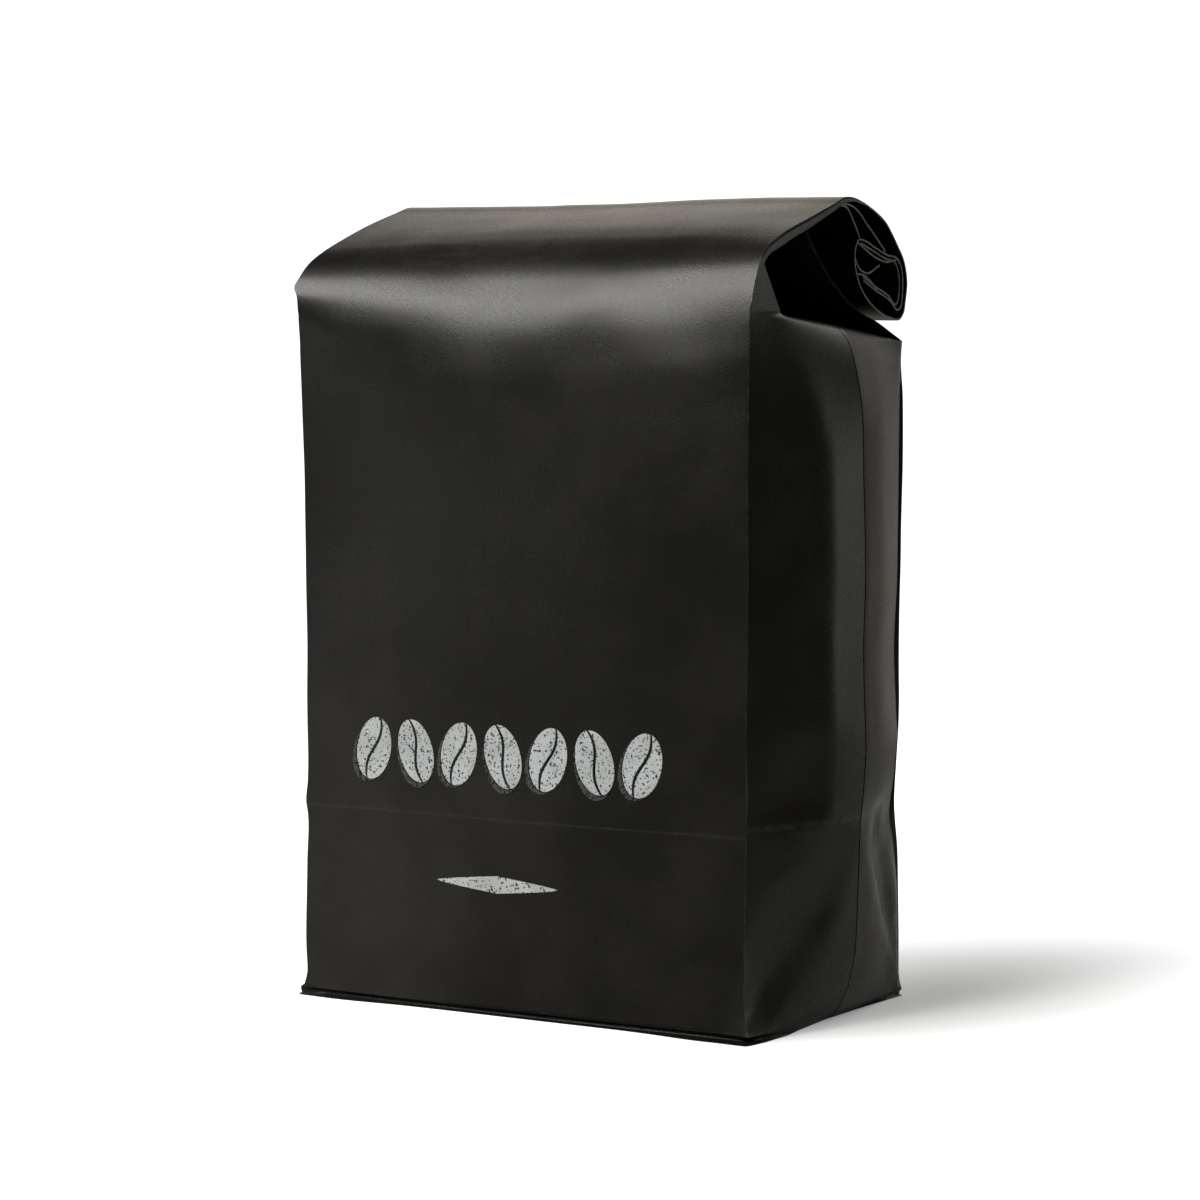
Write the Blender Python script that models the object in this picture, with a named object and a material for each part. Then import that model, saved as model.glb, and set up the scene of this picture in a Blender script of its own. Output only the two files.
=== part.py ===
"""A filled side-gusset paper coffee bag, standing, its top flattened and rolled down to the back.

The bag is one sheet of paper round its filling, so it is one solid, in one object named "bag".
It faces -Y, its width runs along X and it stands on z = 0, with the origin under its middle.
The stretch between the two side creases is lofted from sections in the Y-Z plane. The gussets are
joined to it on both sides, and the pocket under each end of the roof is cut out of it.
"""

import math

import bmesh
import bpy

MM = 0.001

# Driving sizes, in millimetres.
WIDTH = 108.0  # front panel, from crease to crease
DEPTH = 64.6  # gusset, from crease to crease
SHOULDER_Z = 141.0  # where the front panel starts to turn back into the roof
SHOULDER_RISE = 16.0  # height over which it turns
BACK_SHOULDER_Z = 138.8  # where the back panel turns forward
RIDGE_Y, RIDGE_Z = 8.4, 167.9  # the highest line, where the roll begins
JOIN_Y, JOIN_Z = -8.3, 160.2  # where the front and back panels meet under the roof
ROLL_Y, ROLL_Z = 23.5, 154.0  # middle of the roll

LIP = 0.7  # how far the folded base stands out past the front panel
LIP_HEIGHT = 1.1
FRONT_SWELL = 4.0  # how far the filling pushes the front panel out
BACK_SWELL = 2.4
RIDGE_SAG = 0.7  # in the middle of the width
LEFT_RISE = 1.0  # how much higher the left end of the roof is than the right

FLATTENED = 2.3  # thickness of the panels and gussets together, where they meet under the roof
ROLLED = 1.0  # thickness of the same layers pressed flat in the roll

GUSSET_INSET = 0.25  # the gusset solid's rim lies this far inside the creases
GUSSET_ROOT = 5.0  # how deep the gusset solid reaches into the body
GUSSET_TOP_FRONT_Z, GUSSET_TOP_BACK_Z = 143.4, 138.0  # the fold along its top
WALL_BULGE = 8.6  # how far the gusset's middle crease stands out
BASE_BULGE = 3.0  # the same, along the base
FOOT_REACH = 14.0  # height over which the crease swings out from the base
TOP_ROUNDING = 16.0  # height over which it turns in again below the top fold
TRIANGLE_Z = 37.0  # top of the triangle folded into the foot of each gusset
TRIANGLE_CORNER_Z = 3.0

POCKET_DEPTH = 32.0
POCKET_OVERCUT = 12.0

STATIONS = 12  # spans between the lofted sections
FRONT_ROWS, BACK_ROWS = 8, 7
GUSSET_COLUMNS, FOOT_ROWS, WALL_ROWS = 12, 3, 10
OUTLINE_TOLERANCE = 0.06

PAPER_COLOUR = (0.021, 0.02, 0.019, 1.0)
PAPER_ROUGHNESS = 0.46

HALF_WIDTH = WIDTH / 2
HALF_DEPTH = DEPTH / 2


def clear_scene():
    for thing in list(bpy.data.objects):
        bpy.data.objects.remove(thing, do_unlink=True)


def clamp(value):
    return max(0.0, min(1.0, value))


def ease(value):
    value = clamp(value)
    return value * value * (3.0 - 2.0 * value)


# Curves


def between(a, b, c, d, t):
    """The Catmull-Rom curve from b to c, whose neighbours are a and d."""
    straight = 2 * b + (c - a) * t
    return 0.5 * (straight + (2 * a - 5 * b + 4 * c - d) * t**2 + (3 * b - a - 3 * c + d) * t**3)


def spline(points, per_span=8):
    """Points along a smooth curve through the given ones."""
    ends = [points[0], *points, points[-1]]
    found = []
    for four in zip(ends, ends[1:], ends[2:], ends[3:]):
        for step in range(per_span):
            found.append(tuple(between(*line, step / per_span) for line in zip(*four)))
    return [*found, points[-1]]


def off_chord(point, start, stop):
    """How far a point lies from the line from start to stop."""
    run = (stop[0] - start[0], stop[1] - start[1])
    across_run = run[0] * (point[1] - start[1]) - run[1] * (point[0] - start[0])
    return abs(across_run) / math.hypot(*run)


def thin_out(points):
    """Drops the points that lie on a straight stretch."""
    if len(points) < 3:
        return points
    start, stop = points[0], points[-1]
    far = max(range(1, len(points) - 1), key=lambda i: off_chord(points[i], start, stop))
    if off_chord(points[far], start, stop) < OUTLINE_TOLERANCE:
        return [start, stop]
    return thin_out(points[: far + 1])[:-1] + thin_out(points[far:])


def inner_side(path, thickness):
    """The path moved to its right by thickness(i), which is towards the middle of the roll."""
    moved = []
    for i, (y, z) in enumerate(path):
        (y0, z0), (y1, z1) = path[max(i - 1, 0)], path[min(i + 1, len(path) - 1)]
        share = thickness(i) / math.hypot(y1 - y0, z1 - z0)
        moved.append((y + (z1 - z0) * share, z - (y1 - y0) * share))
    return moved


def polar(angle, radius):
    """A point round the middle of the roll. Angle 0 points to the back and 90 points up."""
    turn = math.radians(angle)
    return ROLL_Y + radius * math.cos(turn), ROLL_Z + radius * math.sin(turn)


# Outline of the bag in the Y-Z plane, at its right-hand creases


def front_outline():
    """Up the front panel from the base to the foot of the roof."""
    lip_y = -HALF_DEPTH - LIP
    lip = [(lip_y, 0.0), (lip_y, LIP_HEIGHT), (-HALF_DEPTH, LIP_HEIGHT + LIP)]
    rise = SHOULDER_Z - LIP_HEIGHT
    panel = [
        (-HALF_DEPTH + ease(row / FRONT_ROWS), LIP_HEIGHT + rise * row / FRONT_ROWS)
        for row in range(1, FRONT_ROWS)
    ]
    shoulder = [(-HALF_DEPTH + 1.0, SHOULDER_Z), (-30.0, 147.4), (-26.8, 154.2), (-24.2, 157.0)]
    return lip + panel + thin_out(spline([*shoulder, (-19.3, 159.0)]))


def roof_outline():
    """Up the roof, over the ridge and round the roll to the free edge of the paper inside it."""
    turn_over = [(-10.0, 162.1), (2.2, 166.0), (RIDGE_Y, RIDGE_Z), (15.2, 167.2)]
    outer_turn = [polar(97, 10.9), polar(53, 8.9), polar(12, 10.6), polar(-14, 11.9), polar(-31, 12.9)]
    under_turn = [polar(-48, 13.5), polar(-66, 11.5), polar(-106, 9.2), polar(-138, 9.5)]
    inner_turn = [polar(-160, 10.4), polar(-184, 11.3), polar(-204, 11.1), polar(-218, 8.8)]
    tucked = [polar(-243, 4.6), polar(-322, 4.2), polar(-354, 8.4), polar(-387, 9.9), polar(-409, 9.6)]
    free_edge = [polar(-428, 6.4), polar(-478, 5.0), polar(-512, 7.6)]
    return thin_out(spline(turn_over + outer_turn + under_turn + inner_turn + tucked + free_edge))


def back_outline():
    """From the join under the roof, over the back shoulder and down to the base."""
    lean = [(JOIN_Y, JOIN_Z), (-3.6, 155.5), (2.2, 150.4), (9.5, 146.0), (21.9, 141.9), (29.5, 139.8)]
    turn = [(HALF_DEPTH - 0.1, BACK_SHOULDER_Z - 2.0), (HALF_DEPTH + 0.5, BACK_SHOULDER_Z - 10.0)]
    panel = [(HALF_DEPTH, turn[-1][1] * (1.0 - row / BACK_ROWS)) for row in range(1, BACK_ROWS)]
    return thin_out(spline(lean + turn)) + panel + [(HALF_DEPTH + LIP, 0.0)]


def outline():
    """The closed section, as its front, its roof and roll, their under side, and its back."""
    roof = roof_outline()
    ridge = min(range(len(roof)), key=lambda i: math.dist(roof[i], (RIDGE_Y, RIDGE_Z)))

    def thickness(i):
        return ROLLED + (FLATTENED - ROLLED) * (1.0 - ease(i / ridge))

    return front_outline(), roof, inner_side(roof, thickness)[::-1], back_outline()


# How the section changes along the width


def across(x):
    """1 in the middle of the width, 0 at the creases."""
    return 1.0 - (x / HALF_WIDTH) ** 2


def swell(z):
    """Share of the filling's push at a height: none at the base and none where the roof begins."""
    return math.sin(math.pi * clamp(z / (SHOULDER_Z + SHOULDER_RISE)) ** 1.5)


def roof_lift(x):
    return LEFT_RISE * (0.5 - x / WIDTH) - RIDGE_SAG * across(x)


def move_front(x, y, z):
    turned = ease((z - SHOULDER_Z) / SHOULDER_RISE)
    return y - FRONT_SWELL * across(x) * swell(z), z + roof_lift(x) * turned


def move_roof(x, y, z):
    return y, z + roof_lift(x)


def move_back(x, y, z):
    turned = ease((z - BACK_SHOULDER_Z) / (JOIN_Z - BACK_SHOULDER_Z))
    return y + BACK_SWELL * across(x) * swell(z), z + roof_lift(x) * turned


def section(x):
    parts = zip(outline(), (move_front, move_roof, move_roof, move_back))
    return [move(x, y, z) for points, move in parts for y, z in points]


# Solids


def new_vert(bm, x, y, z):
    return bm.verts.new((x * MM, y * MM, z * MM))


def new_object(name, bm):
    bmesh.ops.recalc_face_normals(bm, faces=bm.faces)
    mesh = bpy.data.meshes.new(name)
    bm.to_mesh(mesh)
    bm.free()
    thing = bpy.data.objects.new(name, mesh)
    bpy.context.collection.objects.link(thing)
    return thing


def lofted_body():
    """The stretch between the side creases, lofted from left to right with its ends capped."""
    bm = bmesh.new()
    rings = []
    for station in range(STATIONS + 1):
        x = HALF_WIDTH * math.sin(math.pi * (station / STATIONS - 0.5))
        rings.append([new_vert(bm, x, y, z) for y, z in section(x)])
    for left, right in zip(rings, rings[1:]):
        for i in range(len(left)):
            bm.faces.new((left[i - 1], left[i], right[i], right[i - 1]))
    bm.faces.new(rings[0])
    bm.faces.new(rings[-1])
    return new_object("bag", bm)


def crease_bulge(z, top_z):
    """How far the gusset's middle crease stands out at a height."""
    out = WALL_BULGE - (WALL_BULGE - BASE_BULGE) * math.exp(-z / FOOT_REACH)
    below_top = clamp((top_z - z) / TOP_ROUNDING)
    return out * math.sqrt(below_top * (2.0 - below_top))


def gusset_point(column, row):
    """x, y and z of a point of the right gusset. Its lowest rows are the triangle in its foot."""
    share = 2.0 * column / GUSSET_COLUMNS - 1.0
    tent = (1.0 - abs(share)) ** 0.85
    triangle_z = TRIANGLE_CORNER_Z + (TRIANGLE_Z - TRIANGLE_CORNER_Z) * (1.0 - abs(share))
    top_z = GUSSET_TOP_FRONT_Z + (GUSSET_TOP_BACK_Z - GUSSET_TOP_FRONT_Z) * (share + 1.0) / 2.0
    if row <= FOOT_ROWS:
        rise = row / FOOT_ROWS
        z = GUSSET_INSET + (triangle_z - GUSSET_INSET) * rise
        base = BASE_BULGE * (1.0 - share**2)
        x = base + (crease_bulge(triangle_z, top_z) * tent - base) * rise
    else:
        rise = 1.0 - (1.0 - (row - FOOT_ROWS) / WALL_ROWS) ** 1.4
        z = triangle_z + (top_z - triangle_z) * rise
        x = crease_bulge(z, top_z) * tent
    if column in (0, GUSSET_COLUMNS) or row == FOOT_ROWS + WALL_ROWS:
        x = -GUSSET_INSET
    return HALF_WIDTH + x, share * (HALF_DEPTH - 1.0 - GUSSET_INSET), z


def gusset(name, side):
    """The part of the bag outside one pair of creases, with a root that joins it to the body."""
    bm = bmesh.new()
    grid = []
    for row in range(FOOT_ROWS + WALL_ROWS + 1):
        line = [gusset_point(column, row) for column in range(GUSSET_COLUMNS + 1)]
        grid.append([new_vert(bm, side * x, y, z) for x, y, z in line])
    for low, high in zip(grid, grid[1:]):
        for column in range(GUSSET_COLUMNS):
            bm.faces.new((low[column], low[column + 1], high[column + 1], high[column]))
    rim = [edge for edge in bm.edges if edge.is_boundary]
    root = bmesh.ops.extrude_edge_only(bm, edges=rim)["geom"]
    for vert in (item for item in root if isinstance(item, bmesh.types.BMVert)):
        vert.co.x = side * (HALF_WIDTH - GUSSET_ROOT) * MM
    bmesh.ops.contextual_create(bm, geom=[edge for edge in bm.edges if edge.is_boundary])
    return new_object(name, bm)


def pocket(name, side):
    """The hollow where the gusset leans in under the roof: a mouth at the crease and a point inside."""
    under_roof = [(-20.7, 144.5), (-24.6, 153.4), (-19.2, 156.2), (-9.4, 159.2)]
    over_back = [(-4.0, 154.4), (2.0, 149.2), (9.3, 144.9), (18.0, 141.9), (25.0, 139.9)]
    over_gusset = [(14.8, 140.6), (-0.7, 142.6)]
    mouth = under_roof + over_back + over_gusset
    bm = bmesh.new()
    outer, inner = (
        [new_vert(bm, side * (HALF_WIDTH + out), y, z) for y, z in mouth] for out in (POCKET_OVERCUT, 0.0)
    )
    point = new_vert(bm, side * (HALF_WIDTH - POCKET_DEPTH), -9.6, 156.6)
    bm.faces.new(outer)
    for i in range(len(mouth)):
        bm.faces.new((outer[i - 1], outer[i], inner[i], inner[i - 1]))
        bm.faces.new((inner[i - 1], inner[i], point))
    return new_object(name, bm)


def combine(bag, tool, operation):
    tool.hide_render = True
    tool.display_type = "WIRE"
    modifier = bag.modifiers.new(tool.name, "BOOLEAN")
    modifier.operation = operation
    modifier.solver = "EXACT"
    modifier.object = tool


def black_paper():
    material = bpy.data.materials.new("black_paper")
    material.use_nodes = True
    shader = material.node_tree.nodes["Principled BSDF"]
    shader.inputs["Base Color"].default_value = PAPER_COLOUR
    shader.inputs["Roughness"].default_value = PAPER_ROUGHNESS
    shader.inputs["Metallic"].default_value = 0.0
    return material


def main():
    clear_scene()
    bag = lofted_body()
    bag.data.materials.append(black_paper())
    for side, name in ((1, "right"), (-1, "left")):
        combine(bag, gusset(f"gusset_{name}", side), "UNION")
        combine(bag, pocket(f"pocket_{name}", side), "DIFFERENCE")


main()
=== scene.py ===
"""A filled coffee bag of black paper, its flattened top folded back over it and rolled down to the rear.

The wrapper is one closed mesh. A sheet is lofted across the bag, up the front, over the roof, round
the roll, back inside it and down the rear, and the two gussets are welded to its creases. Loose
layers of the roll and the ink on the front are pieces of their own; the base corners are pinched in
the wrapper itself.
"""

import math

import bpy
import numpy as np
from bpy.props import FloatProperty, FloatVectorProperty, IntProperty, PointerProperty
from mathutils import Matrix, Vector, noise
from mathutils.geometry import delaunay_2d_cdt


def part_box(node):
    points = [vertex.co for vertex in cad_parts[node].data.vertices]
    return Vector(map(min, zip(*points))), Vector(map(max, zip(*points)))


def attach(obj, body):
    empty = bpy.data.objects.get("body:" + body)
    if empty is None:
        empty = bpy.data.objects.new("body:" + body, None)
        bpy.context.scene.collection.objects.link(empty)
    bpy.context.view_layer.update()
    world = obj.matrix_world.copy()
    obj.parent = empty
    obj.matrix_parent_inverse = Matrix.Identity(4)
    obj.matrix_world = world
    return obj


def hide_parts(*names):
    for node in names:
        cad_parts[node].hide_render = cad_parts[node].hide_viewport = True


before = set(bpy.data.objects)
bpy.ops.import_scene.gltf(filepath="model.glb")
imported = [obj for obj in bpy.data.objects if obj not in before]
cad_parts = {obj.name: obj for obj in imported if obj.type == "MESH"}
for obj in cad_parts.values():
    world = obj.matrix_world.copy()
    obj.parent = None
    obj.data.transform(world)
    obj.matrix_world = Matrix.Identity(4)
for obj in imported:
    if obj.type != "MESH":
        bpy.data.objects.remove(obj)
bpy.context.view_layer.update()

bl_info = {
    "name": "Rolled coffee bag",
    "version": (1, 0, 0),
    "blender": (4, 5, 0),
    "location": "View3D > Sidebar > Coffee bag",
    "description": "Folds a side-gusset paper bag with a rolled top, prints its front and lights it",
    "category": "Add Mesh",
}

MM = 0.001
BODY = "root"
BAG_LOW, BAG_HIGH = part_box("bag")
CAD_BULGE = BAG_HIGH.x - 0.054  # how far the solid's gusset stands out from its creases

# Outlines in the Y-Z plane, in millimetres. The front ones run up from the foot of the panel, through
# the corner where the gusset's top fold starts (key 5), to the foot of the roof (key 7).

CORNER_KEY, ROOF_KEY = 5, 7
FRONT_LEFT = [
    (-32.3, 2.2), (-31.9, 40.7), (-31.9, 85.0), (-32.1, 126.4),
    (-32.7, 137.8), (-33.4, 144.5), (-32.5, 150.2), (-30.4, 153.6),
]
FRONT_MIDDLE = [
    (-33.0, 2.2), (-33.4, 40.7), (-35.3, 85.0), (-35.6, 122.0),
    (-34.9, 133.0), (-33.1, 141.5), (-30.3, 148.5), (-27.7, 153.0),
]
FRONT_RIGHT = [
    (-32.3, 2.2), (-32.1, 40.7), (-31.8, 85.0), (-31.4, 126.4),
    (-31.3, 137.8), (-30.7, 144.2), (-28.6, 150.6), (-26.6, 154.2),
]
ROOF_LEFT = [
    (-27.8, 156.0), (-24.6, 158.0), (-21.4, 159.5), (-9.5, 163.8), (0.8, 167.0), (6.6, 168.6),
]
ROOF_MIDDLE = [
    (-24.4, 156.3), (-20.6, 159.0), (-17.0, 160.7), (-7.5, 164.0), (2.0, 166.6), (8.0, 168.1),
]
ROOF_RIGHT = [
    (-24.2, 156.6), (-21.6, 158.0), (-18.8, 159.2), (-8.0, 162.8), (2.2, 166.0), (8.4, 167.9),
]
ROLL = [
    (11.3, 167.9), (15.2, 167.2), (18.7, 166.2), (22.3, 164.9), (25.8, 163.2), (28.4, 161.1),
    (31.0, 158.6), (33.6, 155.8), (35.1, 151.3), (34.4, 147.2), (33.6, 144.8), (32.1, 143.5),
    (27.5, 143.5), (20.9, 145.2), (16.4, 147.7), (13.9, 150.2), (12.6, 152.6), (12.1, 154.9),
    (12.3, 157.2), (13.8, 159.4), (16.3, 159.4), (21.3, 158.0), (26.9, 156.6), (30.5, 156.2),
    (32.0, 155.1), (33.1, 148.4), (32.6, 146.2), (31.1, 145.2), (27.4, 147.0), (20.8, 149.0),
    (15.8, 150.8),
]
LEAN = [
    (-6.2, 157.8), (-3.6, 155.5), (-0.3, 152.6), (2.2, 150.6), (5.5, 148.6), (9.5, 146.4),
    (14.4, 144.4), (21.9, 142.6), (29.0, 140.3),
]
BACK_PANEL = [
    (33.2, 2.2), (33.1, 11.0), (32.3, 25.0), (31.9, 31.0), (30.6, 42.0), (31.5, 50.0), (32.3, 60.0),
    (32.0, 72.0), (32.1, 84.0), (32.7, 95.0), (33.1, 106.0), (33.2, 122.0), (33.0, 131.0),
    (32.5, 138.9),
]
BACK_CREASE = [
    (33.0, 2.2), (32.3, 7.0), (31.9, 15.0), (30.9, 27.0), (29.6, 33.5), (27.6, 40.0), (28.4, 44.0),
    (29.4, 47.3), (30.1, 51.5), (30.7, 55.7), (30.2, 59.5), (29.2, 67.0), (28.6, 74.0), (29.8, 88.0),
    (30.4, 100.0), (30.5, 120.0), (31.3, 134.0), (32.2, 138.9),
]
LEFT_EDGE = [
    (0.6, 2.2), (0.2, 6.0), (0.1, 28.0), (0.0, 39.0), (-0.5, 41.5), (-0.2, 45.0), (-0.1, 62.0),
    (0.1, 75.0), (0.0, 84.0), (-0.5, 105.0), (-0.8, 118.0), (-0.9, 128.0), (-0.8, 136.0),
    (-0.6, 141.0), (-0.7, 145.4), (-1.3, 148.4), (-2.4, 150.4), (-1.8, 152.6), (-1.3, 155.4),
    (-0.6, 157.6), (-0.2, 160.0), (-0.1, 161.0),
]

# The foot of each panel, a lip over a recess: how far it stands out from the panel, and its height
REAR_FLAP = 0.25  # the same at the rear, as a share of the front one
FLAP = [(0.0, 0.0), (0.0, 0.14), (-1.3, 0.3), (-1.5, 0.75), (-1.1, 1.1), (-0.2, 1.3), (0.05, 1.55)]
LEFT_CLOSED = 2.2  # over this breadth the recess closes towards the pinched left corner
# Where the base reaches further out in front: place across, breadth and how far
BASE_REACH = [(-46.0, 14.0, 1.8), (46.0, 12.0, 1.9)]
# Corners of the base that are pinched to a point: place, reach, and how far the paper moves
PINCHED = [
    ((-0.054, -0.0325, 0.0013), 0.0024, (-0.0014, -0.0003, 0.0)),
    ((0.054, -0.0330, 0.0), 0.0040, (0.0016, -0.0010, 0.0)),
    ((0.054, 0.0332, 0.0005), 0.0025, (0.0001, 0.0010, 0.0)),
]

# Round the rear corner, at these distances from the crease: how much of the way forward to the crease
# the panel comes, and how far inwards its columns move where the notch is open
REAR_CORNER = [0.0, 0.12, 0.3, 0.7], [1.0, 0.72, 0.04, 0.0], [0.75, -0.25]

CORNER_COLUMN = 7
GUSSET_SHARES = [
    0.0, 0.0048, 0.014, 0.03, 0.055, 0.085, 0.12, 0.158, 0.195, 0.235, 0.275, 0.315, 0.355,
    0.395, 0.43, 0.46, 0.482, 0.4965, 0.5, 0.5035, 0.518, 0.54, 0.57, 0.605, 0.645, 0.685, 0.725,
    0.765, 0.805, 0.845, 0.88, 0.91, 0.935, 0.957, 0.975, 0.988, 0.9952, 1.0,
]
RIM_SHARES = [0.0, 0.06, 0.14, 0.2, 0.27, 0.45, 0.75, 1.0]
RIM_RELIEF = [0.0, 0.05, 0.0, -0.45, 0.0, 0.06, 0.05, 0.0]


# Settings


class BagShape(bpy.types.PropertyGroup):
    panel_width: FloatProperty(
        name="Panel width", description="Front panel, from crease to crease",
        default=0.108, min=0.05, max=0.3, unit="LENGTH",
    )
    gusset_bulge: FloatProperty(
        name="Gusset bulge", description="How far the gusset's middle crease stands out",
        default=CAD_BULGE, min=0.0, max=0.02, unit="LENGTH",
    )
    crease_radius: FloatProperty(
        name="Crease radius", description="Rounding of the side creases",
        default=0.0003, min=0.0001, max=0.002, unit="LENGTH",
    )
    flattened: FloatProperty(
        name="Flattened top", description="Thickness of the layers pressed together under the roof",
        default=0.0026, min=0.0005, max=0.005, unit="LENGTH",
    )
    layer: FloatProperty(
        name="Paper layer", description="Thickness of the doubled paper in the roll",
        default=0.00036, min=0.0001, max=0.001, unit="LENGTH",
    )
    column_step: FloatProperty(
        name="Mesh step", description="Spacing of the wrapper's columns across the panel",
        default=0.0014, min=0.0005, max=0.01, unit="LENGTH",
    )
    unevenness: FloatProperty(
        name="Unevenness", description="Depth of the broad dents that the beans press into the paper",
        default=0.00032, min=0.0, max=0.002, unit="LENGTH",
    )


class PaperFinish(bpy.types.PropertyGroup):
    colour: FloatVectorProperty(
        name="Paper", description="Black kraft paper", subtype="COLOR", size=3,
        default=(0.0045, 0.0043, 0.0040), min=0.0, max=1.0,
    )
    # Pale colour of the lines along the creases and cut edges: rubbed paper, and a painted highlight where the rounded
    # folds catch the light.
    wear_and_highlight_colour: FloatVectorProperty(
        name="Worn creases", description="Rubbed fibres along the creases and cut edges",
        subtype="COLOR", size=3, default=(0.30, 0.285, 0.26), min=0.0, max=1.0,
    )
    # Pale colour of the random blotches and flecks, and of the paler patches on the front and the roof.
    scuff_colour: FloatVectorProperty(
        name="Scuffs", description="Pale bloom where the paper has been rubbed", subtype="COLOR",
        size=3, default=(0.022, 0.021, 0.0195), min=0.0, max=1.0,
    )
    roughness: FloatProperty(
        name="Roughness", description="Satin finish of the paper", default=0.27, min=0.0, max=1.0,
        subtype="FACTOR",
    )


class FrontPrint(bpy.types.PropertyGroup):
    ink: FloatVectorProperty(
        name="Ink", description="Pale grey ink", subtype="COLOR", size=3,
        default=(0.60, 0.63, 0.65), min=0.0, max=1.0,
    )
    shade_ink: FloatVectorProperty(
        name="Shade ink", description="Thin grey ink of the shadow under each motif",
        subtype="COLOR", size=3, default=(0.085, 0.087, 0.09), min=0.0, max=1.0,
    )
    beans: IntProperty(
        name="Beans", description="Coffee beans in the printed row", default=7, min=1, max=20,
    )
    bean_length: FloatProperty(
        name="Bean length", description="Height of a printed bean", default=0.0134, min=0.001,
        max=0.05, unit="LENGTH",
    )
    bean_width: FloatProperty(
        name="Bean width", description="Width of a printed bean", default=0.0088, min=0.001,
        max=0.05, unit="LENGTH",
    )
    row_start: FloatProperty(
        name="Row start", description="Middle of the first bean, across the panel",
        default=-0.0355, min=-0.05, max=0.05, unit="LENGTH",
    )
    row_end: FloatProperty(
        name="Row end", description="Middle of the last bean, across the panel",
        default=0.0310, min=-0.05, max=0.05, unit="LENGTH",
    )
    row_height: FloatProperty(
        name="Row height", description="Middle of the row, above the table", default=0.0537,
        min=0.0, max=0.15, unit="LENGTH",
    )
    rule_length: FloatProperty(
        name="Ornament length", description="Length of the lozenge below the row",
        default=0.030, min=0.001, max=0.1, unit="LENGTH",
    )
    rule_height: FloatProperty(
        name="Ornament height", description="Middle of the lozenge, above the table",
        default=0.0272, min=0.0, max=0.15, unit="LENGTH",
    )


class StudioStage(bpy.types.PropertyGroup):
    camera_place: FloatVectorProperty(
        name="Camera", description="Where the camera stands", subtype="TRANSLATION", size=3,
        default=(0.39486, -0.61725, 0.12654),
    )
    camera_aim: FloatVectorProperty(
        name="Aim", description="The point that the camera looks at", subtype="TRANSLATION",
        size=3, default=(-0.00041, 0.0, 0.08419),
    )
    lens: FloatProperty(
        name="Focal length", description="Focal length for a 36 mm sensor, in millimetres",
        default=104.17, min=10.0, max=300.0,
    )
    floor_colour: FloatVectorProperty(
        name="Floor", description="Pale studio sweep", subtype="COLOR", size=3,
        default=(0.90, 0.905, 0.925), min=0.0, max=1.0,
    )
    mirrored_floor: FloatVectorProperty(
        name="Mirrored floor", description="The floor as the paper sees it", subtype="COLOR",
        size=3, default=(0.38, 0.38, 0.375), min=0.0, max=1.0,
    )
    floor_radius: FloatProperty(
        name="Floor radius", description="How far the floor reaches", default=0.56, min=0.3,
        max=10.0, unit="LENGTH",
    )


# Curves


def run_through(keys, spans):
    """A smooth curve through the keys, with spans[i] steps from key i to the next."""
    keys = np.asarray(keys, float)
    gaps = np.linalg.norm(np.diff(keys, axis=0), axis=1)
    slopes = np.gradient(keys, np.concatenate([[0.0], np.cumsum(gaps)]), axis=0)
    found = []
    for i, steps in enumerate(spans):
        t = np.linspace(0.0, 1.0, steps, endpoint=False)[:, None]
        found.append(
            keys[i] * (1.0 + 2.0 * t) * (1.0 - t) ** 2
            + keys[i + 1] * t**2 * (3.0 - 2.0 * t)
            + gaps[i] * (slopes[i] * t * (1.0 - t) ** 2 + slopes[i + 1] * t**2 * (t - 1.0))
        )
    return np.concatenate([*found, keys[-1:]])


def height_curve(keys, heights):
    """The first value of (value, height) keys, read off a smooth curve at the given heights."""
    line = run_through(keys, [40] * (len(keys) - 1))
    return np.interp(heights, line[:, 1], line[:, 0])


def ease(value):
    value = np.clip(value, 0.0, 1.0)
    return value * value * (3.0 - 2.0 * value)


def beside(path, thickness):
    """The path moved by a thickness to the right of its direction of travel."""
    along = np.gradient(path, axis=0)
    along /= np.linalg.norm(along, axis=1)[:, None]
    return path + np.stack([along[:, 1], -along[:, 0]], axis=1) * np.asarray(thickness)[:, None]


# Rows and columns of the wrapper


def wall_levels():
    """Heights of the rows of the front wall, closer at the base fold and under the top corner."""
    return np.concatenate([
        np.linspace(2.2, 39.6, 29), [40.3, 40.7, 41.1], np.linspace(42.2, 125.0, 62),
        np.linspace(126.2, 139.4, 12), np.linspace(140.2, 144.5, 8),
    ])


def columns(shape):
    """Places of the columns across the panel, closer at the creases."""
    half = shape.panel_width / 2 / MM
    edge = np.array([0.0, 0.12, 0.3, 0.7, 1.3, 2.1, 3.2])
    inner = half - 4.4
    steps = int(round(2 * inner / (shape.column_step / MM)))
    return np.concatenate([-half + edge, np.linspace(-inner, inner, steps + 1), (half - edge)[::-1]])


def roll_spans():
    """Rows between the keys of the roll, about 0.9 mm apart."""
    keys = np.array([ROOF_RIGHT[-1], *ROLL])
    return [max(2, round(float(gap) / 0.9)) for gap in np.linalg.norm(np.diff(keys, axis=0), axis=1)]


WALL_SPANS = [60] * CORNER_KEY
UPPER_SPANS = [9, 7]
ROOF_SPANS = [4, 5, 4, 9, 10, 7]


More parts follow.
